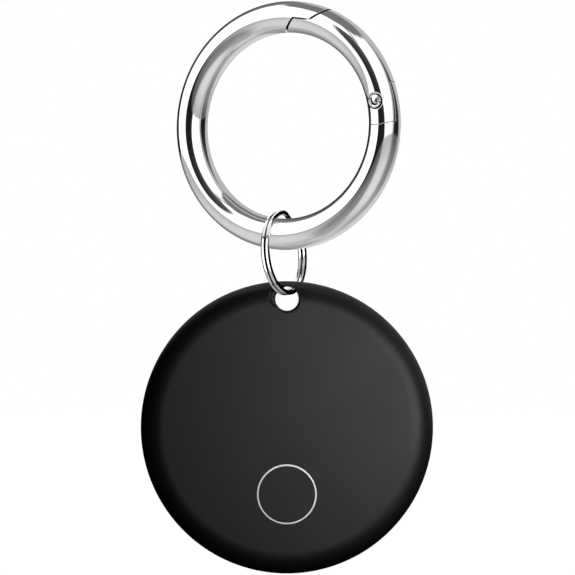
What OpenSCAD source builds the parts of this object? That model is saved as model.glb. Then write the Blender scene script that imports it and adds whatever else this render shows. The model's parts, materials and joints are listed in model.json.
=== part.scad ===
// Round tracker tag on a split ring and a spring-gate carabiner ring, hanging from
// the inside of the ring's top. Millimetres, +Z up, front face towards -Y.

/* [Carabiner ring] */
// Radius of the ring's centreline
ring_radius = 14.5; // [14.3:0.1:15]
// Radius of the ring's round bar
bar_radius = 2.1; // [2:0.05:2.2]
// Turn of the ring about the vertical, which brings its right side forward
ring_yaw = 27.5; // [20:0.5:32]

/* [Gate] */
// Angle of the hinge pin round the ring, counted from its right side
pin_angle = 11.2; // [10.5:0.1:12]
// Width of the gap between the two noses
nose_gap = 0.2; // [0.16:0.01:0.24]
// Distance from the bar's centreline in to the hinge pin
pin_inset = 0.25; // [0.1:0.05:0.3]
// Distance from the hinge pin to the end of the gate's cheeks
cheek_length = 3.05; // [3:0.05:3.3]
// Clearance round the moving faces of the hinge
hinge_gap = 0.07; // [0.06:0.01:0.12]
// Thickness of the tongue between the cheeks
tongue_thickness = 1.5; // [1.4:0.05:1.6]
// Radius of the hinge pin
pin_radius = 0.7; // [0.6:0.05:0.75]
// Radius of the hinge pin's peened heads
pin_head_radius = 0.88; // [0.85:0.01:0.92]
// Radius of the gate plunger
plunger_radius = 0.55; // [0.5:0.01:0.56]

/* [Split ring] */
// Inner radius of the split ring
loop_inner_radius = 5; // [4.95:0.05:5.05]
// Width of the flat wire, measured along the loop's radius
wire_width = 0.65; // [0.6:0.05:0.7]
// Thickness of the flat wire, measured along the loop's axis
wire_thickness = 0.56; // [0.54:0.01:0.57]
// Lean of the split ring's top to the left
loop_lean = 4.5; // [0:0.5:5]

/* [Tag] */
// Radius of the tag
tag_radius = 19.5; // [19.4:0.1:20]
// Half of the tag's thickness
half_thickness = 3.4; // [3.3:0.05:3.6]
// Radius of the rounding between the faces and the edge
edge_radius = 3; // [2.8:0.05:3]
// Radius of the keyring hole
hole_radius = 1.5; // [1.45:0.05:1.6]
// Height of the keyring hole above the tag's centre
hole_height = 17.05; // [17:0.05:17.1]
// Radius of the rounding at the mouths of the keyring hole
mouth_radius = 0.4; // [0.3:0.05:0.5]
// Tilt of the hole's two reliefs, which let the split ring pass through
relief_tilt = 14; // [13:0.5:15]
// Radius of the solid lug round the keyring hole
lug_radius = 4.3; // [4.2:0.05:4.4]
// Thickness of the covers' walls over the faces
wall = 0.85; // [0.8:0.05:0.9]
// Gap of the parting line between the two covers
parting_gap = 0.12; // [0.08:0.01:0.2]

/* [Button] */
// Distance from the tag's centre down to the button's centre
button_drop = 8.75; // [8.7:0.05:9]
// Radius of the middle of the button's bright trim line
trim_radius = 3.86; // [3.8:0.01:3.9]
// Width of the trim line
trim_width = 0.2; // [0.15:0.01:0.25]
// Gap between the button and its opening
button_gap = 0.06; // [0.05:0.01:0.1]
// Travel of the button
button_travel = 0.2; // [0.15:0.01:0.2]

/* [Battery] */
// Radius of the coin cell
cell_radius = 10; // [9.9:0.05:10]
// Height of the coin cell
cell_height = 3.2; // [3.1:0.05:3.2]

/* [Electronics] */
// Radius of the circuit board
board_radius = 16.8; // [16.5:0.1:16.9]
// Thickness of the circuit board
board_thickness = 0.6; // [0.5:0.05:0.6]
// Radius of the buzzer's brass plate
piezo_radius = 7.5; // [7:0.1:7.5]

/* [Hidden] */

$fn = 96;
// Overlap that keeps cutting tools clear of the faces they cut
over = 1;
// Heights of the main pieces in the world, with the hang point at zero
ring_height = -(ring_radius - bar_radius);
hole_world_height = -35.6;
tag_height = hole_world_height - hole_height;
// Split ring: the place of its lowest point, and the half distance between its coils
loop_radius = loop_inner_radius + wire_width / 2;
loop_low = [0, -1.45, -34.7];
coil_offset = wire_thickness / 2 + 0.02;
coil_end_angle = 27;
coil_step_angle = 20;
joggle_angle = 75;
wire_corner = 0.1;
// Carabiner gate
nose_shift = [0.5, -0.95] * nose_gap / 2;
pocket_radius = 1.85;
tongue_flat = 1.3;
tongue_tip = 2.2;
slot_half = tongue_thickness / 2 + 0.05;
plunger_offset = -0.7;
plunger_bore_radius = 0.6;
plunger_bore_end = 6;
plunger_start = tongue_flat + 0.03;
plunger_shoulder = 2.5;
plunger_tail_radius = 0.3;
plunger_tail = 0.5;
spring_wire_radius = 0.08;
spring_radius = 0.45;
pin_seat_radius = 1.18;
pin_seat_depth = 0.3;
pin_groove_width = 0.16;
pin_groove_depth = 0.08;
pin_groove_height = bar_radius - pin_seat_depth - pin_groove_depth;
pin_head_height = 0.34;
pin_dome_radius = 2.4;
pin_punch_radius = 0.62;
pin_punch_depth = 0.07;
// Tag shells, all heights counted from the parting plane towards the front
face_inner = half_thickness - wall;
cavity_radius = 17.3;
skirt_outer_radius = 18.2;
skirt_inner_radius = 17.4;
skirt_height = 0.8;
skirt_pocket_radius = 18.3;
skirt_pocket_height = 1;
relief_turn = 50;
relief_radius = hole_radius - 0.03;
scallop_radius = 4.7;
scallop_wall = 0.7;
seal_low = 0.15;
seal_high = 0.6;
seal_depth = 0.3;
notch_width = 6;
notch_height = 0.7;
// Circuit board and the bosses that carry it
board_low = 0.75;
board_high = board_low + board_thickness;
boss_positions = [[13, 7.5], [-13, 7.5], [10.6, -10.6], [-10.6, -10.6]];
boss_radius = 1.2;
post_radius = 0.6;
// Coin cell
cell_low = 0.65 - cell_height;
can_wall = 0.25;
cap_radius = 8.7;
crimp_height = 0.35;
holder_inner_radius = cell_radius + 0.15;
holder_outer_radius = cell_radius + 1.1;
// Buzzer
piezo_centre = [0, 3.8];
plate_thickness = 0.15;
plate_low = face_inner - plate_thickness;
ceramic_thickness = 0.18;
ceramic_radius = 5.2;
// Button and its switch
button_radius = trim_radius + trim_width / 2;
flange_radius = 4.7;
flange_thickness = 0.35;
cap_foot_height = 2.1;
cap_foot_radius = 0.95;
trim_depth = 0.3;
switch_size = 4;
switch_floor = board_high + 0.1;
switch_clearance = 0.03;
switch_high = 1.75;
frame_high = 1.88;

function polar(radius, angle) = [radius * cos(angle), radius * sin(angle)];
// Middle line of the nose joint, from outside the ring to inside it
nose_line = [polar(19.5, 60.8), polar(14.53, 72.2), polar(14.3, 82.1), polar(10.7, 98.4)];

// ---- Placing ----

// From the plane of the carabiner ring, x across, y up, z out of its front
module in_ring_plane() {
    translate([0, 0, ring_height])
        rotate([0, 0, -ring_yaw])
            rotate([90, 0, 0])
                children();
}

// From the hinge pin: x away from the ring's centre, y along the gate to its nose
module at_pin() {
    rotate([0, 0, pin_angle])
        translate([ring_radius - pin_inset, 0, 0])
            children();
}

// From the tag's centre, x across, y up, z out of its front face
module in_tag() {
    translate([0, 0, tag_height])
        rotate([90, 0, 0])
            children();
}

// A plate drawn in the ring's plane, centred on that plane
module ring_plate(thickness) {
    linear_extrude(height = thickness, center = true)
        children();
}

// ---- Carabiner ring ----

module ring_bar() {
    rotate_extrude()
        translate([ring_radius, 0])
            circle(bar_radius);
}

// Part of the ring that the gate takes, with its joint faces moved by shift and grow
module gate_area(shift, grow) {
    polygon(concat([polar(6, pin_angle), polar(24, pin_angle), polar(26, 40)],
                   [for (point = nose_line) point + shift]));
    at_pin() {
        circle(cheek_length + grow);
        translate([0, -cheek_length - grow])
            square([2 * bar_radius, cheek_length + grow + over]);
    }
}

// Tongue of the ring body that the gate's cheeks straddle
module tongue_area() {
    at_pin() {
        circle(tongue_flat);
        polygon([[-3, -4.5], [-3, -1.9], [-1.2, -0.9], [-1.15, tongue_flat], [0.65, tongue_flat],
                 [0.65, tongue_tip], [3, tongue_tip], [3, -4.5]]);
    }
}

// Slot between the gate's cheeks, open below the pin and at the tongue's tip
module slot_area() {
    at_pin() {
        circle(pocket_radius);
        translate([-5, -6])
            square([10, 6]);
        translate([0.5, -over])
            square([5, tongue_tip + hinge_gap + over]);
    }
}

module ring_body() {
    color("silver")
        in_ring_plane()
            difference() {
                ring_bar();
                difference() {
                    ring_plate(6)
                        gate_area(-nose_shift, hinge_gap);
                    ring_plate(tongue_thickness)
                        tongue_area();
                }
                at_pin()
                    cylinder(r = pin_radius + 0.03, h = 6, center = true);
            }
}

module ring_gate() {
    color("silver")
        in_ring_plane()
            difference() {
                intersection() {
                    ring_bar();
                    ring_plate(6)
                        gate_area(nose_shift, 0);
                }
                ring_plate(2 * slot_half)
                    slot_area();
                at_pin() {
                    cylinder(r = pin_radius, h = 6, center = true);
                    for (side = [0, 1])
                        mirror([0, 0, side])
                            pin_seat();
                    translate([plunger_offset, over, 0])
                        rotate([-90, 0, 0])
                            cylinder(r = plunger_bore_radius, h = plunger_bore_end - over);
                }
            }
}

// Flat seat round one end of the pin, with a groove round its head
module pin_seat() {
    translate([0, 0, bar_radius - pin_seat_depth])
        cylinder(r = pin_seat_radius, h = over);
    translate([0, 0, pin_groove_height])
        cylinder(r = pin_head_radius + pin_groove_width, h = over);
}

// Pin with a domed and peened head at each end
module gate_pin() {
    color("gainsboro")
        in_ring_plane()
            at_pin() {
                cylinder(r = pin_radius, h = 2 * pin_groove_height + 0.02, center = true);
                for (side = [0, 1])
                    mirror([0, 0, side])
                        translate([0, 0, pin_groove_height])
                            pin_head();
            }
}

module pin_head() {
    difference() {
        intersection() {
            cylinder(r = pin_head_radius, h = over);
            translate([0, 0, pin_head_height - pin_dome_radius])
                sphere(pin_dome_radius);
        }
        translate([0, 0, pin_head_height + pin_punch_radius - pin_punch_depth])
            sphere(pin_punch_radius);
    }
}

// Points of a ring of the spring's wire, at one angle of its coil
function spring_section(angle, height, sides) = [
    for (side = [0:sides - 1])
        let (tilt = side * 360 / sides, radius = spring_radius + spring_wire_radius * cos(tilt))
        [radius * cos(angle), radius * sin(angle), height + spring_wire_radius * sin(tilt)]
];

// Faces of a tube of rings with sides points each, closed at both ends
function tube_faces(rings, sides) = concat(
    [[for (side = [0:sides - 1]) sides - 1 - side]],
    [for (ring = [0:rings - 2], side = [0:sides - 1])
        let (next = (side + 1) % sides)
        [ring * sides + side, ring * sides + next,
         (ring + 1) * sides + next, (ring + 1) * sides + side]],
    [[for (side = [0:sides - 1]) (rings - 1) * sides + side]]
);

// Coil spring along z, from height low to height high
module coil_spring(low, high, turns) {
    sides = 6;
    steps = 14;
    rings = turns * steps + 1;
    rise = high - low - 2 * spring_wire_radius;
    points = [
        for (ring = [0:rings - 1])
            each spring_section(ring * 360 / steps,
                                low + spring_wire_radius + rise * ring / (rings - 1), sides)
    ];
    polyhedron(points, tube_faces(rings, sides), convexity = 10);
}

module gate_spring() {
    color("lightgray")
        in_ring_plane()
            at_pin()
                translate([plunger_offset, 0, 0])
                    rotate([-90, 0, 0])
                        coil_spring(plunger_shoulder + 0.02, plunger_bore_end - 0.02, 8);
}

module gate_plunger() {
    color("darkgray")
        in_ring_plane()
            at_pin()
                translate([plunger_offset, plunger_start, 0])
                    rotate([-90, 0, 0]) {
                        cylinder(r = plunger_radius, h = plunger_shoulder - plunger_start);
                        cylinder(r = plunger_tail_radius, h = plunger_shoulder - plunger_start + plunger_tail);
                    }
}

// ---- Split ring ----

// Sideways place of the wire after it has turned by angle, in its two turns
function coil_side(angle) =
    let (step = (angle - 360 + coil_step_angle) / (2 * coil_step_angle),
         part = min(1, max(0, step)))
    coil_offset * (2 * part * part * (3 - 2 * part) - 1);

// Cross-section of the flat wire with its corners taken off, as [outward, sideways]
function wire_section() =
    let (w = wire_width / 2, t = wire_thickness / 2, c = wire_corner)
    [[w, t - c], [w - c, t], [c - w, t], [-w, t - c], [-w, c - t], [c - w, -t], [w - c, -t], [w, c - t]];

module split_ring() {
    sides = 8;
    first = coil_end_angle;
    last = 720 - coil_end_angle;
    rings = 119;
    points = [
        for (ring = [0:rings - 1])
            let (turn = first + (last - first) * ring / (rings - 1), angle = turn + joggle_angle)
            each [for (corner = wire_section())
                [(loop_radius + corner[0]) * cos(angle), (loop_radius + corner[0]) * sin(angle),
                 coil_side(turn) + corner[1]]]
    ];
    color("silver")
        translate(loop_low)
            rotate([90 - loop_lean, 0, 90 - ring_yaw])
                translate([0, loop_radius, 0])
                    polyhedron(points, tube_faces(rings, sides), convexity = 10);
}

// ---- Tag covers ----

// Half of the tag's outline, cut by the parting plane and turned about z
module half_shell() {
    rotate_extrude()
        intersection() {
            square([tag_radius + over, half_thickness + over]);
            union() {
                square([tag_radius - edge_radius, half_thickness]);
                square([tag_radius, half_thickness - edge_radius]);
                translate([tag_radius - edge_radius, half_thickness - edge_radius])
                    circle(edge_radius);
            }
        }
}

module at_hole() {
    translate([0, hole_height, 0])
        children();
}

module at_button() {
    translate([0, -button_drop, 0])
        children();
}

// Round plate with a bite of bite_radius taken out round the keyring hole
module bitten_disc(radius, bite_radius) {
    difference() {
        circle(radius);
        at_hole()
            circle(bite_radius);
    }
}

// Bore through the front cover with a rounded mouth, which opens upwards at height
module flared_bore(radius, height) {
    steps = 8;
    arc = [
        for (step = [0:steps])
            [radius + mouth_radius * (1 - cos(90 * step / steps)),
             height - mouth_radius * (1 - sin(90 * step / steps))]
    ];
    low = height - half_thickness;
    rotate_extrude()
        polygon(concat([[0, low], [radius, low]], arc,
                       [[radius + mouth_radius, height + over], [0, height + over]]));
}

// Keyring hole, flared at both ends, with a tilted relief on each side for the split ring
module keyring_hole() {
    flared_bore(hole_radius, half_thickness);
    mirror([0, 0, 1])
        flared_bore(hole_radius, 0);
    rotate([-relief_tilt, 0, relief_turn])
        flared_bore(relief_radius, half_thickness);
    translate([0, 0, half_thickness])
        rotate([relief_tilt, 0, -relief_turn])
            translate([0, 0, -half_thickness])
                mirror([0, 0, 1])
                    flared_bore(relief_radius, 0);
}

module front_cover() {
    color([0.13, 0.13, 0.14])
        in_tag()
            difference() {
                union() {
                    difference() {
                        half_shell();
                        translate([0, 0, -over])
                            linear_extrude(height = skirt_pocket_height + over)
                                bitten_disc(skirt_pocket_radius, lug_radius);
                        linear_extrude(height = face_inner)
                            bitten_disc(cavity_radius, lug_radius);
                    }
                    for (position = boss_positions)
                        translate(position)
                            cover_boss();
                }
                at_hole()
                    keyring_hole();
                at_button()
                    cylinder(r = button_radius + button_gap, h = half_thickness + over);
            }
}

// Boss under the face that carries the board, with the post that locates it
module cover_boss() {
    translate([0, 0, board_high])
        cylinder(r = boss_radius, h = face_inner - board_high + 0.2);
    translate([0, 0, board_low - 0.1])
        cylinder(r = post_radius, h = board_thickness + 0.3);
}

module rear_cover() {
    color([0.12, 0.12, 0.13])
        in_tag()
            difference() {
                union() {
                    difference() {
                        mirror([0, 0, 1])
                            half_shell();
                        translate([0, 0, -parting_gap])
                            cylinder(r = tag_radius + over, h = over);
                    }
                    translate([0, 0, wall - half_thickness - 0.1])
                        linear_extrude(height = half_thickness - wall + 0.1 + skirt_height)
                            bitten_disc(skirt_outer_radius, scallop_radius);
                }
                translate([0, 0, wall - half_thickness])
                    linear_extrude(height = half_thickness)
                        bitten_disc(skirt_inner_radius, scallop_radius + scallop_wall);
                at_hole()
                    cylinder(r = scallop_radius, h = 3 * half_thickness, center = true);
                translate([0, 0, seal_low])
                    linear_extrude(height = seal_high - seal_low)
                        seal_track(-over, seal_depth);
                translate([-notch_width / 2, -tag_radius - over, -parting_gap - notch_height])
                    cube([notch_width, over + notch_height, notch_height + over]);
            }
}

// Band along the skirt's outer side, from grow outside it to depth inside it
module seal_track(grow, depth) {
    difference() {
        bitten_disc(skirt_outer_radius - grow, scallop_radius + grow);
        bitten_disc(skirt_outer_radius - depth, scallop_radius + depth);
    }
}

module seal_ring() {
    color("dimgray")
        in_tag()
            translate([0, 0, seal_low + 0.02])
                linear_extrude(height = seal_high - seal_low - 0.04)
                    seal_track(-0.05, seal_depth - 0.02);
}

// ---- Circuit board and what is on it ----

module circuit_board() {
    color([0.05, 0.25, 0.16])
        in_tag()
            translate([0, 0, board_low])
                linear_extrude(height = board_thickness)
                    difference() {
                        bitten_disc(board_radius, scallop_radius + scallop_wall + 0.3);
                        for (position = boss_positions)
                            translate(position)
                                circle(post_radius + 0.05);
                    }
}

// A flat box on the front of the board, centred on its place
module on_board(place, size) {
    translate([place[0] - size[0] / 2, place[1] - size[1] / 2, board_high])
        cube(size);
}

module radio_chip() {
    color([0.08, 0.08, 0.08])
        in_tag()
            on_board([10, -4], [5, 5, 0.85]);
}

module crystals() {
    color("lightgray")
        in_tag() {
            on_board([10, 0.4], [2.5, 2, 0.6]);
            on_board([6.6, -3.5], [1.2, 2, 0.5]);
        }
}

module chip_antenna() {
    color("white")
        in_tag()
            on_board([-14.3, -1], [2, 6.5, 1]);
}

module passives() {
    color([0.62, 0.55, 0.45])
        in_tag() {
            for (row = [0:4])
                on_board([13.8, -6 + 1.3 * row], [1, 0.5, 0.5]);
            for (column = [0:3])
                on_board([6.6 + 1.3 * column, -8.2], [0.5, 1, 0.5]);
            for (row = [0:4])
                on_board([-11, -5 + 1.2 * row], [1.6, 0.8, 0.45]);
            for (column = [0:2])
                on_board([-9 + 1.6 * column, -6.9], [0.8, 1.6, 0.45]);
        }
}

module test_pads() {
    color("gold")
        in_tag()
            for (column = [0:4])
                translate([-4 + 2 * column, -14.6, board_high])
                    cylinder(r = 0.6, h = 0.05);
}

// ---- Coin cell and its contacts ----

module cell_can() {
    color("silver")
        in_tag()
            translate([0, 0, cell_low])
                difference() {
                    cylinder(r = cell_radius, h = cell_height - crimp_height);
                    translate([0, 0, can_wall])
                        cylinder(r = cell_radius - can_wall, h = cell_height);
                }
}

module cell_gasket() {
    color("gray")
        in_tag()
            translate([0, 0, cell_low + can_wall])
                difference() {
                    cylinder(r = cell_radius - can_wall, h = cell_height - crimp_height - can_wall + 0.08);
                    translate([0, 0, -over])
                        cylinder(r = cap_radius, h = cell_height + over);
                }
}

module cell_cap() {
    color("lightgray")
        in_tag()
            translate([0, 0, cell_low + can_wall])
                cylinder(r = cap_radius, h = cell_height - can_wall);
}

// Frame round the cell, open at the bottom so that a finger can lift the cell
module cell_holder() {
    color("ivory")
        in_tag()
            translate([0, 0, -1.6])
                difference() {
                    cylinder(r = holder_outer_radius, h = board_low + 1.6);
                    translate([0, 0, -over])
                        cylinder(r = holder_inner_radius, h = 5);
                    translate([-5, -holder_outer_radius - over, -over])
                        cube([10, 4, board_low + 1.6 - 0.5 + over]);
                    for (side = [-1, 1])
                        translate([side * (holder_outer_radius - 0.5) - 1, -1.6, -over])
                            cube([2, 3.2, 5]);
                }
}

// Two spring-steel legs from the board that press on the can's side
module positive_clip() {
    leg_width = 2.4;
    leg = 0.2;
    color("silver")
        in_tag()
            for (side = [0, 1])
                mirror([side, 0, 0]) {
                    translate([cell_radius + 0.05, -leg_width / 2, -1.5])
                        cube([leg, leg_width, board_low + 1.5]);
                    translate([cell_radius + 0.05, -leg_width / 2, board_low - leg])
                        cube([2, leg_width, leg]);
                }
}

// Three-armed leaf between the board and the cell's cap
module negative_spring() {
    leaf = 0.08;
    color("silver")
        in_tag()
            translate([0, 0, board_low - leaf - 0.01])
                linear_extrude(height = leaf)
                    union() {
                        circle(1.8);
                        for (arm = [0:2])
                            rotate([0, 0, 120 * arm + 30])
                                translate([0, -0.7])
                                    square([5.5, 1.4]);
                    }
}

// ---- Buzzer ----

module at_buzzer() {
    translate(piezo_centre)
        children();
}

module buzzer_plate() {
    color("goldenrod")
        in_tag()
            at_buzzer()
                translate([0, 0, plate_low])
                    cylinder(r = piezo_radius, h = plate_thickness);
}

module buzzer_ceramic() {
    color("whitesmoke")
        in_tag()
            at_buzzer()
                translate([0, 0, plate_low - ceramic_thickness])
                    cylinder(r = ceramic_radius, h = ceramic_thickness);
}

// One spring reaches the brass plate, the other the ceramic's silvered face
module buzzer_springs() {
    color("gold")
        in_tag()
            at_buzzer() {
                translate([-6.3, 0, 0])
                    coil_spring(board_high, plate_low, 3);
                translate([2.5, -1.5, 0])
                    coil_spring(board_high, plate_low - ceramic_thickness, 3);
            }
}

// ---- Button and its switch ----

// Square slab of the switch from height low to height high
module switch_slab(low, high) {
    translate([-switch_size / 2, -switch_size / 2, low])
        cube([switch_size, switch_size, high - low]);
}

module switch_base() {
    color([0.1, 0.1, 0.1])
        in_tag()
            at_button()
                difference() {
                    switch_slab(board_high, switch_high);
                    translate([0, 0, switch_floor])
                        cylinder(r = 1.25, h = over);
                }
}

module switch_frame() {
    color("silver")
        in_tag()
            at_button()
                difference() {
                    switch_slab(switch_high, frame_high);
                    cylinder(r = 1.1, h = 4);
                }
}

module switch_plunger() {
    low = switch_floor + button_travel + switch_clearance;
    color([0.75, 0.72, 0.66])
        in_tag()
            at_button()
                translate([0, 0, low])
                    cylinder(r = 1, h = cap_foot_height - low);
}

// Cap with a flange under the wall, a foot on the switch and a step for the trim
module button_cap() {
    flange_low = face_inner - flange_thickness - 0.03;
    color([0.13, 0.13, 0.14])
        in_tag()
            at_button()
                difference() {
                    union() {
                        translate([0, 0, flange_low])
                            cylinder(r = button_radius, h = half_thickness - flange_low);
                        translate([0, 0, flange_low])
                            cylinder(r = flange_radius, h = flange_thickness);
                        translate([0, 0, cap_foot_height])
                            cylinder(r = cap_foot_radius, h = half_thickness - cap_foot_height - trim_depth);
                    }
                    translate([0, 0, half_thickness - trim_depth])
                        trim_band(button_radius + over, over);
                }
}

module button_trim() {
    color("lightgray")
        in_tag()
            at_button()
                translate([0, 0, half_thickness - trim_depth])
                    trim_band(button_radius, trim_depth);
}

// Ring round the button's face, and the step that it sits in
module trim_band(outer, height) {
    difference() {
        cylinder(r = outer, h = height);
        translate([0, 0, -over])
            cylinder(r = trim_radius - trim_width / 2, h = height + 2 * over);
    }
}

ring_body();
ring_gate();
gate_pin();
gate_spring();
gate_plunger();
split_ring();
front_cover();
rear_cover();
seal_ring();
circuit_board();
radio_chip();
crystals();
chip_antenna();
passives();
test_pads();
cell_can();
cell_gasket();
cell_cap();
cell_holder();
positive_clip();
negative_spring();
buzzer_plate();
buzzer_ceramic();
buzzer_springs();
switch_base();
switch_frame();
switch_plunger();
button_cap();
button_trim();
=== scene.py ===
import json
import math

import bmesh
import bpy
from mathutils import Matrix, Vector

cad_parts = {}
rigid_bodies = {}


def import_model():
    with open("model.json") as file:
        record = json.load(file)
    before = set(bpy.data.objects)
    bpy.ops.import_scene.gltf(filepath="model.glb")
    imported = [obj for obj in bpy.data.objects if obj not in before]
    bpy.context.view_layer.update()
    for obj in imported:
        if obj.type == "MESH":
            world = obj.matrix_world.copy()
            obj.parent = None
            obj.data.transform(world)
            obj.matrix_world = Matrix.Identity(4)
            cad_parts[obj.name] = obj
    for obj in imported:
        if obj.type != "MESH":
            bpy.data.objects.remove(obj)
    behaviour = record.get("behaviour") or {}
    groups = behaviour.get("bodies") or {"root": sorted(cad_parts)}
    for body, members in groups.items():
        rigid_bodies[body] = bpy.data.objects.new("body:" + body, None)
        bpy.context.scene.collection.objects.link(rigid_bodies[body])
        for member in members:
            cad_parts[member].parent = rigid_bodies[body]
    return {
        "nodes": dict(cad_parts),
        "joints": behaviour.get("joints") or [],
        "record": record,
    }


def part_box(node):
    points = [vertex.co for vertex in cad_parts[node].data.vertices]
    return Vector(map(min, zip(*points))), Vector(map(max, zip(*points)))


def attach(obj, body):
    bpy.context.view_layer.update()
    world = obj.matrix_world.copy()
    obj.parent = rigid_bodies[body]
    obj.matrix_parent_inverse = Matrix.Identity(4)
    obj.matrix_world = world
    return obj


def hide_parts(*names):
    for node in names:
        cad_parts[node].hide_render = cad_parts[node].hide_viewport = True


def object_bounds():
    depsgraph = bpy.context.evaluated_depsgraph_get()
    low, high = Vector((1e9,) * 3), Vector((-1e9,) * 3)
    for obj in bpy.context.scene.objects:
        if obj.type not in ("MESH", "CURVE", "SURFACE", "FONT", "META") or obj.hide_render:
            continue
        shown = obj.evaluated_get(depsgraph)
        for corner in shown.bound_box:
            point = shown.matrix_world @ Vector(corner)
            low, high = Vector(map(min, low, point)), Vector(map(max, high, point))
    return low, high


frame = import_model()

CAD_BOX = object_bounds()
RECORD = frame["record"]
JOINTS = {joint["name"]: joint for joint in frame["joints"]}
BODY_NODES = RECORD["behaviour"]["bodies"]

# ---- Sizes, in millimetres and degrees, and places taken from the frame ----

MM = 0.001
RING_RADIUS = 14.5
BAR_RADIUS = 2.1
PIN_ANGLE = 11.2
PIN_INSET = 0.25
NOSE_GAP = 0.26
CHEEK_LENGTH = 3.05
HINGE_GAP = 0.07
TONGUE_THICKNESS = 1.5
SLOT_THICKNESS = 1.6
TONGUE_TIP = 2.2
TONGUE_RADIUS = 1.3
POCKET_RADIUS = 1.85
PIN_RADIUS = 0.7
PIN_CLEARANCE = 0.03
HEAD_RADIUS = 0.88
HEAD_LIFT = 0.01
SEAT_RADIUS = 1.18
SEAT_HEIGHT = 1.8
GROOVE_RADIUS = 1.04
GROOVE_HEIGHT = 1.72
BORE_RADIUS = 0.6
BORE_INSET = 0.7
# Half height of a cutting tool, which reaches past the bar on both sides
PAST_BAR = 3
LOOP_INNER_RADIUS = 5
WIRE_WIDTH = 0.65
WIRE_THICKNESS = 0.56
WIRE_SIDES = 32
# Power that shapes the wire's section: 1 gives an ellipse, and less gives flatter sides
WIRE_POWER = 0.72
LOOP_LEAN = 4.5
LOOP_LOW = Vector((0, -1.45, -34.7))
JOGGLE_ANGLE = 75
COIL_END_ANGLE = 27
COIL_STEP_ANGLE = 20
COIL_GAP = 0.04


def middle(node):
    """Centre of a CAD node's box, in metres."""
    low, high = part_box(node)
    return (Vector(low) + Vector(high)) / 2


hinge_axis = Vector(JOINTS["gate_hinge"]["axis"])
ring_yaw = math.degrees(math.atan2(-hinge_axis.x, -hinge_axis.y))
ring_centre = middle("ring_body")
tag_centre = Vector((0, 0, middle("front_cover").z))

# From millimetres in the ring's plane (x across, y up, z out of its front) to the row frame
RING = (Matrix.Translation((0, 0, ring_centre.z)) @ Matrix.Rotation(math.radians(-ring_yaw), 4, "Z")
        @ Matrix.Rotation(math.radians(90), 4, "X") @ Matrix.Scale(MM, 4))
# From millimetres at the hinge pin (x outwards, y along the gate, z out of the front) to the ring's plane
PIN = (Matrix.Rotation(math.radians(PIN_ANGLE), 4, "Z")
       @ Matrix.Translation((RING_RADIUS - PIN_INSET, 0, 0)))


def polar(radius, angle):
    return Vector((radius * math.cos(math.radians(angle)), radius * math.sin(math.radians(angle))))


# ---- Mesh helpers ----

def new_piece(name, bm, place=None):
    """An object made from a bmesh, which is used up, and put in place by a matrix."""
    mesh = bpy.data.meshes.new(name)
    bm.to_mesh(mesh)
    bm.free()
    if place is not None:
        mesh.transform(place)
    obj = bpy.data.objects.new(name, mesh)
    bpy.context.scene.collection.objects.link(obj)
    return obj


def arc(radius, start, end, steps):
    """Points of an arc round the origin from angle start to angle end, both included."""
    angles = [math.radians(start + (end - start) * k / steps) for k in range(steps + 1)]
    return [(radius * math.cos(angle), radius * math.sin(angle)) for angle in angles]


def prism(outline, low, high):
    """Outline of [x, y] points raised from height low to height high."""
    bm = bmesh.new()
    bottom = [bm.verts.new((x, y, low)) for x, y in outline]
    top = [bm.verts.new((x, y, high)) for x, y in outline]
    bm.faces.new(bottom)
    bm.faces.new(top)
    for k in range(len(outline)):
        n = (k + 1) % len(outline)
        bm.faces.new((bottom[k], bottom[n], top[n], top[k]))
    bmesh.ops.recalc_face_normals(bm, faces=bm.faces)
    return bm


def cylinder(radius, low, high, place, segments=96):
    """A bmesh cylinder about z, moved by place."""
    bm = prism(arc(radius, 0, 360 - 360 / segments, segments - 1), low, high)
    bm.transform(place)
    return bm


def combine(bm, other, kind):
    """bm with other joined to it or cut from it. kind is UNION, DIFFERENCE or INTERSECT."""
    target = new_piece("target", bm)
    tool = new_piece("tool", other)
    modifier = target.modifiers.new("cut", "BOOLEAN")
    modifier.operation = kind
    modifier.object = tool
    modifier.solver = "EXACT"
    result = bmesh.new()
    result.from_object(target, bpy.context.evaluated_depsgraph_get())
    for obj in (target, tool):
        mesh = obj.data
        bpy.data.objects.remove(obj)
        bpy.data.meshes.remove(mesh)
    return result


def smooth(obj, angle=30):
    """Smooth shading that keeps edges sharper than angle."""
    obj.data.shade_smooth()
    obj.data.set_sharp_from_angle(angle=math.radians(angle))


def set_normals(obj, wanted):
    """Custom normals on each face where wanted(point) gives one, and not None, at all of its corners."""
    mesh = obj.data
    normals = [tuple(n.vector) for n in mesh.corner_normals]
    for polygon in mesh.polygons:
        exact = [wanted(mesh.vertices[mesh.loops[k].vertex_index].co) for k in polygon.loop_indices]
        if all(n is not None and n.dot(polygon.normal) > 0.9 for n in exact):
            for k, n in zip(polygon.loop_indices, exact):
                normals[k] = tuple(n)
    mesh.normals_split_custom_set(normals)


# ---- Node helpers ----

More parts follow.
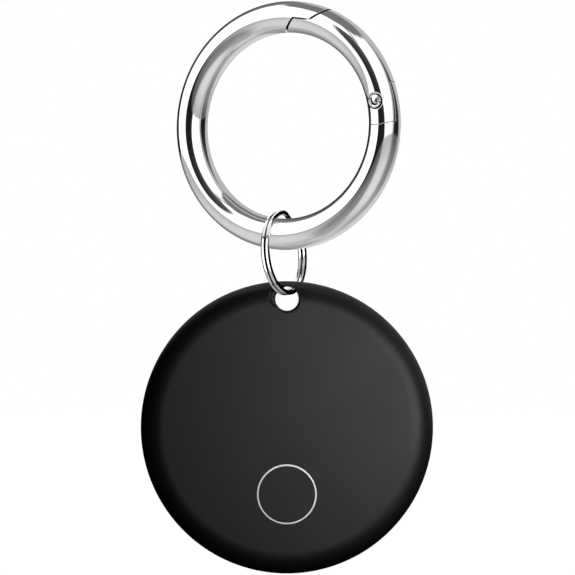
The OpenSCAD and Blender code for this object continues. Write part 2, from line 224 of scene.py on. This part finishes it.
class Value:
    """A number in a node tree. Arithmetic on it adds Math nodes."""

    def __init__(self, tree, socket):
        self.tree = tree
        self.socket = socket

    def math(self, kind, *others):
        node = self.tree.nodes.new("ShaderNodeMath")
        node.operation = kind
        for k, item in enumerate((self, *others)):
            if isinstance(item, Value):
                self.tree.links.new(item.socket, node.inputs[k])
            else:
                node.inputs[k].default_value = item
        return Value(self.tree, node.outputs[0])

    def __add__(self, other):
        return self.math("ADD", other)

    def __sub__(self, other):
        return self.math("SUBTRACT", other)

    def __mul__(self, other):
        return self.math("MULTIPLY", other)

    def __rsub__(self, other):
        return (self * -1).math("ADD", other)

    def step(self, start, end, low=0.0, high=1.0):
        """Smooth step from low at start to high at end. Both ends may be values."""
        node = self.tree.nodes.new("ShaderNodeMapRange")
        node.interpolation_type = "SMOOTHSTEP"
        for k, item in enumerate((self, start, end, low, high)):
            if isinstance(item, Value):
                self.tree.links.new(item.socket, node.inputs[k])
            else:
                node.inputs[k].default_value = item
        return Value(self.tree, node.outputs[0])

    def mix(self, first, second):
        """first where this value is 0, second where it is 1."""
        return first + self * (second - first)


def new_material(name):
    """(material, node tree, Principled shader) of a new material."""
    material = bpy.data.materials.new(name)
    material.use_nodes = True
    tree = material.node_tree
    return material, tree, tree.nodes["Principled BSDF"]


def texture(tree, kind, scale, stretch=(1, 1, 1), **inputs):
    """Value of a procedural texture in object space, with scale in features per millimetre."""
    node = tree.nodes.new("ShaderNodeTex" + kind)
    place = tree.nodes.new("ShaderNodeTexCoord")
    mapping = tree.nodes.new("ShaderNodeMapping")
    mapping.inputs["Scale"].default_value = [factor / MM for factor in stretch]
    tree.links.new(place.outputs["Object"], mapping.inputs["Vector"])
    tree.links.new(mapping.outputs["Vector"], node.inputs["Vector"])
    node.inputs["Scale"].default_value = scale
    for key, value in inputs.items():
        node.inputs[key.replace("_", " ")].default_value = value
    return Value(tree, node.outputs["Fac"])


def put(value, socket):
    """Links a value into a shader's socket."""
    value.tree.links.new(value.socket, socket)


def ramp(value, *stops):
    """Colour ramp over (position, colour) stops, as a socket."""
    node = value.tree.nodes.new("ShaderNodeValToRGB")
    elements = node.color_ramp.elements
    while len(elements) < len(stops):
        elements.new(0.5)
    for element, (position, colour) in zip(elements, stops):
        element.position = position
        element.color = (*colour, 1)
    put(value, node.inputs["Fac"])
    return node.outputs["Color"]


def bump(shader, height, distance):
    """Bump from a height value, with distance in millimetres."""
    tree = height.tree
    node = tree.nodes.new("ShaderNodeBump")
    node.inputs["Strength"].default_value = 1
    node.inputs["Distance"].default_value = distance * MM
    put(height, node.inputs["Height"])
    tree.links.new(node.outputs["Normal"], shader.inputs["Normal"])


# ---- Materials ----

# Reach in millimetres of the painted shade that darkens the metals in their joints
PAINTED_SHADE_REACH = 0.4


def painted_crevice_shade(tree, reach):
    """Painted shade: 1 in the open and 0 in joints narrower than reach millimetres, plus the faces' own
    marks.
    """
    node = tree.nodes.new("ShaderNodeAmbientOcclusion")
    node.samples = 8
    node.inputs["Distance"].default_value = reach * MM
    # Painted shade marks on the faces: 1 keeps the shade off, -1 paints them dark
    painted_shade_mark = tree.nodes.new("ShaderNodeAttribute")
    painted_shade_mark.attribute_name = "painted_shade_mark"
    return Value(tree, node.outputs["AO"]).step(0.5, 0.9) + Value(tree, painted_shade_mark.outputs["Fac"])


def mark_faces(obj, mark):
    """Marks each face with mark(polygon) for the painted shade: 1 keeps the shade off it, -1 paints it dark,
    0 leaves it as it is.
    """
    mesh = obj.data
    marks = mesh.attributes.new("painted_shade_mark", "FLOAT", "FACE")
    for polygon in mesh.polygons:
        marks.data[polygon.index].value = mark(polygon)


def metal(name, colour, low, high, grain=(1, 1, 1), fineness=3.0, relief=0.0001, edge=0.0):
    """Metal with a fine relief along the grain, roughness from low to high, and painted shade in the joints.
    """
    material, tree, shader = new_material(name)
    shader.inputs["Metallic"].default_value = 1
    streaks = texture(tree, "Noise", fineness, grain, Detail=4.0, Roughness=0.6)
    clouds = texture(tree, "Noise", 0.25, Detail=3.0, Roughness=0.5)
    put((streaks * 0.6 + clouds * 0.4).step(0.3, 0.7, low, high), shader.inputs["Roughness"])
    darker = [part * 0.93 for part in colour]
    shown = tree.nodes.new("ShaderNodeMix")
    shown.data_type = "RGBA"
    tree.links.new(ramp(clouds, (0.3, darker), (0.65, colour)), shown.inputs["B"])
    # Near black painted shade, mixed in where the crevice mask falls
    shown.inputs["A"].default_value = (0.01, 0.01, 0.01, 1)
    put(painted_crevice_shade(tree, PAINTED_SHADE_REACH), shown.inputs["Factor"])
    tree.links.new(shown.outputs["Result"], shader.inputs["Base Color"])
    bump(shader, streaks, relief)
    if edge:
        soften_edges(shader, edge)
    return material


def soften_edges(shader, radius):
    """Rounds the shading of sharp edges, with radius in millimetres, under the shader's bump."""
    tree = shader.id_data
    node = tree.nodes.new("ShaderNodeBevel")
    node.samples = 8
    node.inputs["Radius"].default_value = radius * MM
    tree.links.new(node.outputs["Normal"], shader.inputs["Normal"].links[0].from_node.inputs["Normal"])


def plastic(name, colour, roughness, grain_size, relief, contrast=1.25, shade=0.0):
    """Moulded plastic or rubber with a fine grain, and painted shade that takes the reflection out of joints
    narrower than shade millimetres.
    """
    material, tree, shader = new_material(name)
    fine = texture(tree, "Noise", 1 / grain_size, Detail=3.0, Roughness=0.65)
    broad = texture(tree, "Noise", 0.12, Detail=2.0, Roughness=0.5)
    worn = (fine * 0.7 + broad * 0.3).step(0.3, 0.7, roughness - 0.05, roughness + 0.05)
    put(worn, shader.inputs["Roughness"])
    lighter = [part * contrast for part in colour]
    tree.links.new(ramp(fine, (0.35, colour), (0.7, lighter)), shader.inputs["Base Color"])
    bump(shader, fine, relief)
    if shade:
        # Painted shade: the reflection fades in joints narrower than shade millimetres
        put(painted_crevice_shade(tree, shade) * 0.5, shader.inputs["Specular IOR Level"])
    return material


def board_material():
    """Green solder mask over copper: traces and pads show as paler lines under the mask."""
    material, tree, shader = new_material("board_green")
    lanes = texture(tree, "Brick", 0.55, Mortar_Size=0.06, Mortar_Smooth=0.3, Brick_Width=1.4,
                    Row_Height=0.45)
    weave = texture(tree, "Noise", 5.0, Detail=2.0)
    shade = lanes * 0.7 + weave * 0.3
    mask, trace = (0.006, 0.06, 0.03), (0.02, 0.15, 0.075)
    tree.links.new(ramp(shade, (0.1, mask), (0.8, trace)), shader.inputs["Base Color"])
    put(weave.step(0.3, 0.7, 0.28, 0.42), shader.inputs["Roughness"])
    shader.inputs["Coat Weight"].default_value = 0.3
    bump(shader, shade, 0.02)
    return material


FINISHES = {
    "ring_chrome": metal("ring_chrome", (0.93, 0.93, 0.935), 0.02, 0.06, edge=0.07),
    "pin_steel": metal("pin_steel", (0.86, 0.86, 0.87), 0.08, 0.2, relief=0.002),
    "spring_steel": metal("spring_steel", (0.62, 0.62, 0.63), 0.18, 0.32, (1, 1, 4)),
    "split_ring_steel": metal("split_ring_steel", (0.9, 0.9, 0.905), 0.05, 0.12, relief=0.0008),
    "cover_black": plastic("cover_black", (0.003, 0.003, 0.0031), 0.52, 0.16, 0.006, 1.6, shade=3.0),
    "trim_silver": metal("trim_silver", (0.86, 0.86, 0.87), 0.4, 0.5),
    "seal_rubber": plastic("seal_rubber", (0.03, 0.03, 0.032), 0.7, 0.1, 0.008),
    "board_green": board_material(),
    "chip_black": plastic("chip_black", (0.012, 0.012, 0.013), 0.5, 0.05, 0.004),
    "crystal_can": metal("crystal_can", (0.72, 0.71, 0.68), 0.2, 0.35, (1, 1, 6)),
    "antenna_ceramic": plastic("antenna_ceramic", (0.6, 0.6, 0.57), 0.45, 0.08, 0.003, 1.1),
    "passive_tan": plastic("passive_tan", (0.28, 0.2, 0.12), 0.45, 0.08, 0.003, 1.2),
    "pad_gold": metal("pad_gold", (0.85, 0.6, 0.28), 0.15, 0.3),
    "cell_steel": metal("cell_steel", (0.7, 0.7, 0.7), 0.2, 0.36, (1, 1, 1), 2.0, 0.002),
    "gasket_plastic": plastic("gasket_plastic", (0.35, 0.35, 0.34), 0.5, 0.1, 0.004),
    "holder_plastic": plastic("holder_plastic", (0.62, 0.58, 0.48), 0.5, 0.12, 0.005, 1.1),
    "buzzer_brass": metal("buzzer_brass", (0.75, 0.53, 0.26), 0.2, 0.36, (1, 5, 1)),
    "buzzer_ceramic": plastic("buzzer_ceramic", (0.66, 0.66, 0.62), 0.55, 0.06, 0.004, 1.1),
}


def finish_piece(obj, slot, body, *nodes):
    """Gives a new piece its finish and its body, and hides the CAD nodes that it stands for."""
    obj.data.materials.clear()
    obj.data.materials.append(FINISHES[slot])
    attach(obj, body)
    if nodes:
        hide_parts(*nodes)


for node in frame["nodes"].values():
    node.data.materials[0] = FINISHES[node.data.materials[0].name]

# ---- Carabiner ring ----

# The stepped joint between the gate's nose and the ring's, from outside the bar to inside it
nose_line = [polar(19.5, 60.8), polar(14.53, 72.2), polar(14.3, 82.1), polar(10.7, 98.4)]
nose_shift = Vector((0.5, -0.95)) * NOSE_GAP / 2


def from_pin(points):
    """Points given at the hinge pin, moved into the ring's plane."""
    return [(PIN @ Vector((*point, 0))).to_2d() for point in points]


def gate_outline(shift, grow):
    """Outline of the gate in the ring's plane, its joint faces moved by shift and grow."""
    length = CHEEK_LENGTH + grow
    outside = 2 * BAR_RADIUS
    cheek = [(-8.5, 0), *arc(length, 180, 270, 24), (outside, -length), (outside, 0), (9.5, 0)]
    return [*from_pin(cheek), polar(26, 40), *(point + shift for point in nose_line)]


def torus():
    """The whole ring bar, fine enough for its reflections."""
    around, across = 360, 72
    half_step = 180 / across
    section = arc(BAR_RADIUS, half_step, 360 - half_step, across - 1)
    bm = bmesh.new()
    rings = []
    for k in range(around):
        cos, sin = math.cos(2 * math.pi * k / around), math.sin(2 * math.pi * k / around)
        rings.append([bm.verts.new(((RING_RADIUS + x) * cos, (RING_RADIUS + x) * sin, z))
                      for x, z in section])
    for k in range(around):
        for j in range(across):
            n, m = (k + 1) % around, (j + 1) % across
            bm.faces.new((rings[k][j], rings[n][j], rings[n][m], rings[k][m]))
    bmesh.ops.recalc_face_normals(bm, faces=bm.faces)
    return bm


def torus_normal(point):
    """Exact outward normal where a point lies on the ring bar, else None."""
    tolerance = 0.004
    flat = Vector((point.x, point.y, 0))
    offset = point - flat.normalized() * RING_RADIUS
    return offset.normalized() if abs(offset.length - BAR_RADIUS) < tolerance else None


def tongue():
    """The body's tongue, which fills the gate's slot round the pin."""
    outline = [(-3, -4.5), (-3, -1.9), (-1.2, -0.9), (-1.15, TONGUE_RADIUS), (0.65, TONGUE_RADIUS),
               (0.65, TONGUE_TIP), (3, TONGUE_TIP), (3, -4.5)]
    half = TONGUE_THICKNESS / 2
    plate = prism(from_pin(outline), -half, half)
    return combine(plate, cylinder(TONGUE_RADIUS, -half, half, PIN), "UNION")


def ring_body():
    """The bar less the room for the gate, with the tongue left in it and bored for the pin."""
    room = prism(gate_outline(-nose_shift, HINGE_GAP), -PAST_BAR, PAST_BAR)
    room = combine(room, tongue(), "DIFFERENCE")
    bm = combine(torus(), room, "DIFFERENCE")
    bore = cylinder(PIN_RADIUS + PIN_CLEARANCE, -PAST_BAR, PAST_BAR, PIN)
    bm = combine(bm, bore, "DIFFERENCE")
    obj = new_piece("carabiner_ring", bm)
    smooth(obj)
    set_normals(obj, torus_normal)
    obj.data.transform(RING)
    finish_piece(obj, "ring_chrome", "carabiner", "ring_body")


def seat_mark(polygon):
    """Painted shade mark: none on the flat of the pin's seat, dark in the groove in it."""
    tolerance = 0.01
    from_axis = (PIN.inverted() @ polygon.center).to_2d().length
    height = abs(polygon.center.z)
    if from_axis > SEAT_RADIUS - tolerance or height < GROOVE_HEIGHT - tolerance:
        return 0.0
    return 1.0 if abs(height - SEAT_HEIGHT) < tolerance else -1.0


def ring_gate():
    """The bar's part between the joints, slotted for the tongue and seated for the pin's heads."""
    half = SLOT_THICKNESS / 2
    tip = TONGUE_TIP + HINGE_GAP
    slot = from_pin([(-5, -6), (5, -6), (5, tip), (0.5, tip), (0.5, 0), (-5, 0)])
    bore_place = PIN @ Matrix.Translation((-BORE_INSET, 0, 0)) @ Matrix.Rotation(math.radians(-90), 4, "X")
    cuts = [prism(slot, -half, half),
            cylinder(POCKET_RADIUS, -half, half, PIN),
            cylinder(PIN_RADIUS, -PAST_BAR, PAST_BAR, PIN)]
    for side in (1, -1):
        for radius, height in ((SEAT_RADIUS, SEAT_HEIGHT), (GROOVE_RADIUS, GROOVE_HEIGHT)):
            low, high = sorted((side * height, side * PAST_BAR))
            cuts.append(cylinder(radius, low, high, PIN, 192))
    cuts.append(cylinder(BORE_RADIUS, 1, 6, bore_place, 48))
    bm = combine(torus(), prism(gate_outline(nose_shift, 0), -PAST_BAR, PAST_BAR), "INTERSECT")
    for cut in cuts:
        bm = combine(bm, cut, "DIFFERENCE")
    obj = new_piece("carabiner_gate", bm)
    # Painted shade in the groove of the pin's seat, none on its flat
    mark_faces(obj, seat_mark)
    smooth(obj)
    set_normals(obj, torus_normal)
    obj.data.transform(RING)
    finish_piece(obj, "ring_chrome", "gate", "ring_gate")


def head_point(part, angle, side):
    """Point on a head of the pin: part runs from 0 at the groove to 1 on the axis. Side is 1 or -1."""
    wall_end, round_end = 0.25, 0.4
    wall_height, rounding, crown = 0.24, 0.06, 0.03
    radius, height = HEAD_RADIUS, HEAD_LIFT + wall_height * min(1, part / wall_end)
    if part >= round_end:
        radius = (HEAD_RADIUS - rounding) * (1 - part) / (1 - round_end)
        height += rounding + crown * (1 - (radius / HEAD_RADIUS) ** 2)
        height += hammered(radius * math.cos(angle), radius * math.sin(angle) * side)
    elif part >= wall_end:
        turn = (part - wall_end) / (round_end - wall_end) * math.pi / 2
        radius -= rounding * (1 - math.cos(turn))
        height += rounding * math.sin(turn)
    return radius * math.cos(angle), radius * math.sin(angle), (GROOVE_HEIGHT + height) * side


def hinge_pin():
    """Pin with a head at each end, hammered into an uneven dome."""
    steps, rows = 96, 22
    angles = [2 * math.pi * k / steps for k in range(steps)]
    bm = bmesh.new()

    def shaft_ring(height):
        return [bm.verts.new((PIN_RADIUS * math.cos(a), PIN_RADIUS * math.sin(a), height)) for a in angles]

    middle_ring = shaft_ring(0)
    for side in (1, -1):
        rings = [middle_ring, shaft_ring((GROOVE_HEIGHT + HEAD_LIFT) * side)]
        for row in range(rows):
            rings.append([bm.verts.new(head_point(row / rows, a, side)) for a in angles])
        crown = bm.verts.new(head_point(1, 0, side))
        for low, high in zip(rings, rings[1:]):
            for k in range(steps):
                n = (k + 1) % steps
                bm.faces.new((low[k], low[n], high[n], high[k]))
        for k in range(steps):
            bm.faces.new((rings[-1][k], rings[-1][(k + 1) % steps], crown))
    bmesh.ops.recalc_face_normals(bm, faces=bm.faces)
    obj = new_piece("hinge_pin", bm)
    # Painted shade in the fold and the nick of the pin's heads
    mark_faces(obj, fold_mark)
    obj.data.transform(RING @ PIN)
    smooth(obj, 50)
    finish_piece(obj, "pin_steel", "gate", "gate_pin")


def fold(x, y):
    """Depth of the curved fold at the lower left of the pin's head."""
    off = math.hypot(x - 0.1, y - 0.14) - 0.58
    side = max(0.0, min(1.0, 0.6 - y * 1.5 - x * 1.9))
    return 0.16 * side * math.exp(-((off / 0.13) ** 2))


def notch(x, y):
    """Depth of the nick at the right of the pin's head."""
    return 0.14 * math.exp(-(((x - 0.6) / 0.14) ** 2 + ((y - 0.08) / 0.09) ** 2))


def hammered(x, y):
    """Height of the punched middle of the pin's head: a low bump, less the fold and the nick."""
    return 0.04 * math.exp(-((x * x + (y - 0.1) ** 2) / 0.09)) - fold(x, y) - notch(x, y)


def fold_mark(polygon):
    """Painted shade in the fold and the nick, except at the head's rim."""
    rim, deep = 0.07, 0.07
    x, y, z = polygon.center
    in_head = abs(z) > GROOVE_HEIGHT and math.hypot(x, y) < HEAD_RADIUS - rim
    y = math.copysign(1, z) * y
    return -1.0 if in_head and max(fold(x, y), notch(x, y)) > deep else 0.0


ring_body()
ring_gate()
hinge_pin()

# ---- Split ring ----

def coil_side(angle, offset):
    """Sideways place of the wire after it has turned by angle, in its two turns."""
    part = min(1, max(0, (angle - 360 + COIL_STEP_ANGLE) / (2 * COIL_STEP_ANGLE)))
    return offset * (2 * part * part * (3 - 2 * part) - 1)


def split_ring():
    """Flattened wire, swept through two turns."""
    half_w, half_t = WIRE_WIDTH / 2, WIRE_THICKNESS / 2
    section = []
    for k in range(WIRE_SIDES):
        across, along = polar(1, 360 * (k + 0.5) / WIRE_SIDES)
        section.append((half_w * math.copysign(abs(across) ** WIRE_POWER, across),
                        half_t * math.copysign(abs(along) ** WIRE_POWER, along)))
    loop = LOOP_INNER_RADIUS + WIRE_WIDTH / 2
    offset = (WIRE_THICKNESS + COIL_GAP) / 2
    rings = 480
    end_rings, end_shrink = 4, 0.25
    bm = bmesh.new()
    rows = []
    for k in range(rings):
        turn = COIL_END_ANGLE + (720 - 2 * COIL_END_ANGLE) * k / (rings - 1)
        angle = math.radians(turn + JOGGLE_ANGLE)
        cos, sin = math.cos(angle), math.sin(angle)
        side = coil_side(turn, offset)
        from_end = min(k, rings - 1 - k)
        shrink = 1 - end_shrink * (1 - min(1, from_end / end_rings)) ** 2
        points = [(loop + x * shrink, side + y * shrink) for x, y in section]
        rows.append([bm.verts.new((out * cos, out * sin, height)) for out, height in points])
    for low, high in zip(rows, rows[1:]):
        for k in range(len(section)):
            n = (k + 1) % len(section)
            bm.faces.new((low[k], low[n], high[n], high[k]))
    bm.faces.new(rows[0])
    bm.faces.new(rows[-1])
    bmesh.ops.recalc_face_normals(bm, faces=bm.faces)
    lean = Matrix.Rotation(math.radians(90 - LOOP_LEAN), 4, "X")
    turn = Matrix.Rotation(math.radians(90 - ring_yaw), 4, "Z") @ lean
    place = Matrix.Scale(MM, 4) @ Matrix.Translation(LOOP_LOW) @ turn @ Matrix.Translation((0, loop, 0))
    obj = new_piece("split_ring_wire", bm, place)
    smooth(obj, 40)
    finish_piece(obj, "split_ring_steel", "split_ring", "split_ring")


split_ring()

# ---- Studio ----

BOX_LEVEL = 1.35
# Soft boxes of the split ring: name, azimuth and height of the direction in degrees, [width, height] in
# millimetres, and level. Azimuth 0 is the front and 90 is +X.
WIRE_BOXES = (("wire_front", -24, -4, (250, 290), BOX_LEVEL),
              ("wire_top", -20, 75, (300, 160), 0.8),
              ("wire_low", -30, -68, (320, 100), 0.45),
              ("wire_under", 160, -66, (260, 130), 0.3),
              ("wire_back", -160, 46, (170, 90), 1.1))
WIRE_BOX_DISTANCE = 150
AMBIENT = 0.02
# In metres
DOME_RADIUS = 1.2
METALS = ("ring_chrome", "pin_steel", "spring_steel", "crystal_can", "pad_gold", "cell_steel", "buzzer_brass")


def collection_of(name, wanted):
    """A collection for light linking, with the pieces whose finish is in wanted."""
    finishes = [FINISHES[slot] for slot in wanted]
    made = bpy.data.collections.new(name)
    for obj in bpy.context.scene.objects:
        if obj.type == "MESH" and obj.data.materials and obj.data.materials[0] in finishes:
            made.objects.link(obj)
    return made


def directions(tree):
    """Azimuth (0 to the front, 90 to +X) and height of the direction from a dome's centre, in degrees."""
    place = tree.nodes.new("ShaderNodeTexCoord")
    unit = tree.nodes.new("ShaderNodeVectorMath")
    unit.operation = "NORMALIZE"
    tree.links.new(place.outputs["Object"], unit.inputs[0])
    split = tree.nodes.new("ShaderNodeSeparateXYZ")
    tree.links.new(unit.outputs[0], split.inputs[0])
    x, y, z = (Value(tree, split.outputs[k]) for k in range(3))
    degrees = 180 / math.pi
    return x.math("ARCTAN2", y * -1) * degrees, z.math("ARCSINE") * degrees


def near(angle, centre, outer, inner):
    """1 where an angle is within inner of centre, falling to 0 at outer."""
    return (angle - centre).math("ABSOLUTE").step(outer, inner)


def chrome_surround(azimuth, height):
    """Two broad soft boxes, dark gaps between them and a pale floor, as levels of light.

    Its angles, in degrees, and its levels were fitted to the photograph's reflections.
    """
    box_top = height + near(azimuth, -8, 34, 16) * 6
    box_top = box_top.step(67, 62)
    left_edge = height * 0.4 - 52 + height.step(40, 46) * 20
    left_back = height * -0.25 - 116
    left_box = azimuth.step(left_edge + 2, left_edge - 2) * azimuth.step(left_back - 3, left_back + 3)
    left_box = left_box * box_top
    right_edge = height * -0.37
    right_box = azimuth.step(right_edge - 4, right_edge + 4) * box_top
    right_box = right_box * azimuth.step(height * 0.45 + 72, height * 0.3 + 44)
    back_edge = height * -0.34 + 117
    behind = azimuth.step(back_edge - 5, back_edge + 5) + azimuth.step(-177, -180)
    gap = height * height * 0.00007 + 0.013
    wall = behind.mix(gap, 0.52)
    wall = height.step(56, 66).mix(wall, 0.19)
    boxes = left_box + right_box * (1 - left_box)
    boxes = boxes * (1 - near(azimuth, -11, 6, 2) * height.step(40, 45) * 0.8)
    wall = boxes.mix(wall, BOX_LEVEL)

    dips = near(azimuth, -25, 28, 12) + near(azimuth, 86, 44, 12) + near(azimuth, -160, 44, 10)
    pale = height.step(-3, -28, 0.48, 0.7) - height.step(-46, -72, 0, 0.2) + near(azimuth, 32, 40, 10) * 0.05
    dull = height.step(-3, -24, 0.11, 0.24) + height.step(-24, -62, 0, 0.15)
    ground = dips.mix(pale, dull) + height.step(-66, -84, 0, 0.1)
    return height.step(-4.5, -2.5).mix(ground, wall)


def studio_dome():
    """A glowing dome that only the metals reflect."""
    bm = bmesh.new()
    bmesh.ops.create_uvsphere(bm, u_segments=96, v_segments=48, radius=DOME_RADIUS)
    bmesh.ops.reverse_faces(bm, faces=bm.faces)
    dome = new_piece("studio_dome", bm)
    dome.location = (CAD_BOX[0] + CAD_BOX[1]) / 2
    material = bpy.data.materials.new("studio_dome")
    material.use_nodes = True
    material.cycles.emission_sampling = "NONE"
    tree = material.node_tree
    tree.nodes.clear()
    glow = tree.nodes.new("ShaderNodeEmission")
    put(chrome_surround(*directions(tree)), glow.inputs["Color"])
    output = tree.nodes.new("ShaderNodeOutputMaterial")
    tree.links.new(glow.outputs[0], output.inputs["Surface"])
    dome.data.materials.append(material)
    for kind in ("camera", "diffuse", "transmission", "shadow", "volume_scatter"):
        setattr(dome, "visible_" + kind, False)
    dome.light_linking.receiver_collection = collection_of("lit by the dome", METALS)


def soft_light(name, centre, distance, azimuth, height, size, level, receivers):
    """Area light of [width, height] millimetres that shines on centre, and lights only the receivers."""
    flat = math.cos(math.radians(height))
    direction = Vector((flat * math.sin(math.radians(azimuth)), -flat * math.cos(math.radians(azimuth)),
                        math.sin(math.radians(height))))
    data = bpy.data.lights.new(name, "AREA")
    data.shape = "RECTANGLE"
    data.size, data.size_y = (part * MM for part in size)
    # Cycles gives an area light a radiance of a quarter of its power for each square metre
    data.energy = 4 * data.size * data.size_y * level
    obj = bpy.data.objects.new(name, data)
    obj.location = centre + direction * distance * MM
    obj.rotation_euler = direction.to_track_quat("Z", "Y").to_euler()
    obj.visible_camera = False
    bpy.context.scene.collection.objects.link(obj)
    obj.light_linking.receiver_collection = receivers


def studio_lights():
    """Soft boxes for the tag and for the split ring, which stand inside the dome."""
    wire = collection_of("lit by the wire boxes", ["split_ring_steel"])
    wire_centre = middle("split_ring")
    for name, azimuth, height, size, level in WIRE_BOXES:
        soft_light(name, wire_centre, WIRE_BOX_DISTANCE, azimuth, height, size, level, wire)
    others = [slot for slot in FINISHES if slot not in METALS and slot != "split_ring_steel"]
    tag = collection_of("lit by the soft boxes", others)
    soft_light("key", tag_centre, 70, 28.7, 8.2, (74, 50.5), 2.6, tag)
    soft_light("rim", tag_centre, 100, 155.7, 42.2, (300, 174), 0.319, tag)
    # Straight behind, so that it shapes the back and leaves the front as it is
    soft_light("back", tag_centre, 90, 180, 0, (70, 50), 2.6, tag)


def studio_world():
    """White for the camera, and a low grey for everything else."""
    world = bpy.data.worlds.new("studio")
    bpy.context.scene.world = world
    world.use_nodes = True
    tree = world.node_tree
    background = tree.nodes["Background"]
    shown = tree.nodes.new("ShaderNodeLightPath")
    grey = tree.nodes.new("ShaderNodeValue").outputs[0]
    grey.default_value = AMBIENT
    camera_ray = Value(tree, shown.outputs["Is Camera Ray"])
    put(camera_ray.mix(Value(tree, grey), 1.0), background.inputs["Color"])


def pale_floor():
    """A plain pale floor well below the tag, in metres."""
    half, thickness, drop = 2.0, 0.002, 0.06
    top = CAD_BOX[0].z - drop
    corners = [(-half, -half), (half, -half), (half, half), (-half, half)]
    obj = new_piece("floor", prism(corners, top - thickness, top))
    material, _, shader = new_material("floor_white")
    shader.inputs["Base Color"].default_value = (0.8, 0.8, 0.8, 1)
    shader.inputs["Roughness"].default_value = 0.9
    shader.inputs["Emission Color"].default_value = (1, 1, 1, 1)
    shader.inputs["Emission Strength"].default_value = 1.0
    obj.data.materials.append(material)
    obj.visible_glossy = False
    obj.visible_diffuse = False


def camera():
    """The photograph's viewpoint: straight on, from 400 mm."""
    distance = 0.4
    aim_x, aim_z = 0.00008, -0.03401
    shown_width = 0.07677
    data = bpy.data.cameras.new("camera")
    data.sensor_width = 36
    data.lens = data.sensor_width * distance / shown_width
    data.clip_start = 0.01
    data.clip_end = 20
    obj = bpy.data.objects.new("camera", data)
    obj.location = (aim_x, -distance, aim_z)
    obj.rotation_euler = (math.radians(90), 0, 0)
    bpy.context.scene.collection.objects.link(obj)
    bpy.context.scene.camera = obj


# The tag and the split ring stay out of the metals' reflections
for body in ("tag", "button", "rear_cover"):
    for name in BODY_NODES[body]:
        frame["nodes"][name].visible_glossy = False
bpy.data.objects["split_ring_wire"].visible_glossy = False
studio_dome()
studio_lights()
studio_world()
pale_floor()
camera()
settings = bpy.context.scene.view_settings
settings.view_transform = "Standard"
settings.look = "None"
